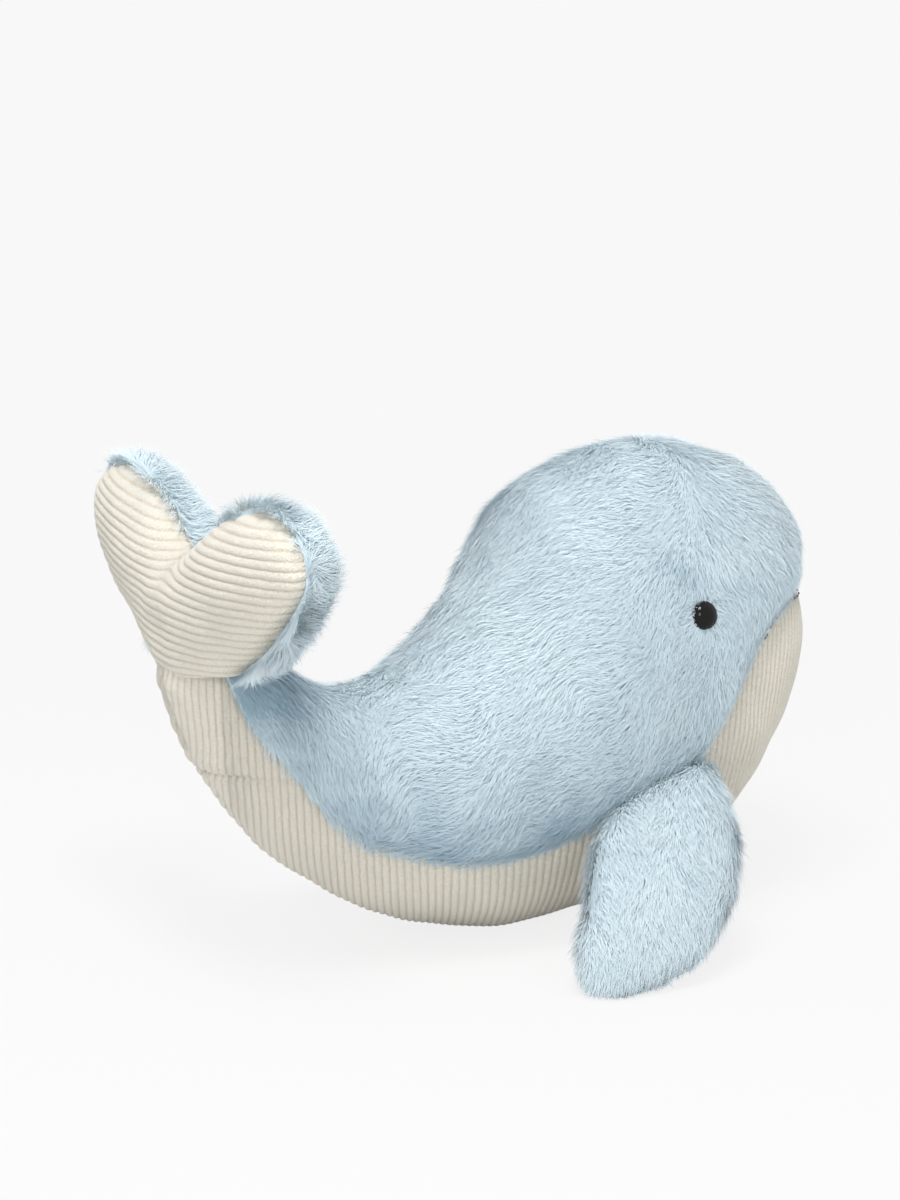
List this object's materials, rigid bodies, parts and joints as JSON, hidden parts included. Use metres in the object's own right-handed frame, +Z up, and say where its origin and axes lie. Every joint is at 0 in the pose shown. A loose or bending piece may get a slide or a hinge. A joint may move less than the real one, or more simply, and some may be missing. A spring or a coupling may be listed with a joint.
{
  "type": "plush whale",
  "caption": "Stuffed whale in pale blue fur with a ribbed cream corduroy belly, hinged side fins, a hinged upturned two-lobed tail fluke and black button eyes.",
  "frame": {"origin": "on the floor plane, under the middle of the toy's bounding box", "axes": "+X towards the nose, +Y towards the toy's left side, +Z up"},
  "size_m": [0.293, 0.216, 0.2014],
  "materials": {
    "fur": "short pale blue pile",
    "corduroy": "ribbed cream corduroy",
    "stuffing": "loose white fibre",
    "eye_black": "polished",
    "thread": "dark brown thread",
    "washer": "matte"
  },
  "bodies": {
    "body": {"back_fur_right": "fur", "back_fur_left": "fur", "belly_corduroy_right": "corduroy", "belly_corduroy_left": "corduroy", "body_stuffing": "stuffing", "tail_stuffing": "stuffing", "eye_right": "eye_black", "eye_left": "eye_black", "eye_washer_right": "washer", "eye_washer_left": "washer", "mouth_thread": "thread"},
    "fin_right": {"fin_right_fur": "fur", "fin_right_corduroy": "corduroy", "fin_right_stuffing": "stuffing"},
    "fin_left": {"fin_left_fur": "fur", "fin_left_corduroy": "corduroy", "fin_left_stuffing": "stuffing"},
    "fluke": {"fluke_fur": "fur", "fluke_corduroy": "corduroy", "fluke_stuffing_right": "stuffing", "fluke_stuffing_left": "stuffing"}
  },
  "joints": [
    {"name": "fin_right_lift", "type": "hinge", "parent": "body", "child": "fin_right", "pos_m": [0.04492, -0.065, 0.06652], "axis": [-0.9489, 0, -0.3156], "range_deg": [-10, 55], "stiffness_Nm_per_rad": 0.25},
    {"name": "fin_left_lift", "type": "hinge", "parent": "body", "child": "fin_left", "pos_m": [0.04492, 0.065, 0.06652], "axis": [0.9489, 0, 0.3156], "range_deg": [-10, 55], "stiffness_Nm_per_rad": 0.25},
    {"name": "fluke_flex", "type": "hinge", "parent": "body", "child": "fluke", "pos_m": [-0.12783, 0, 0.13246], "axis": [0, 1, 0], "range_deg": [-18, 18], "stiffness_Nm_per_rad": 0.6}
  ]
}
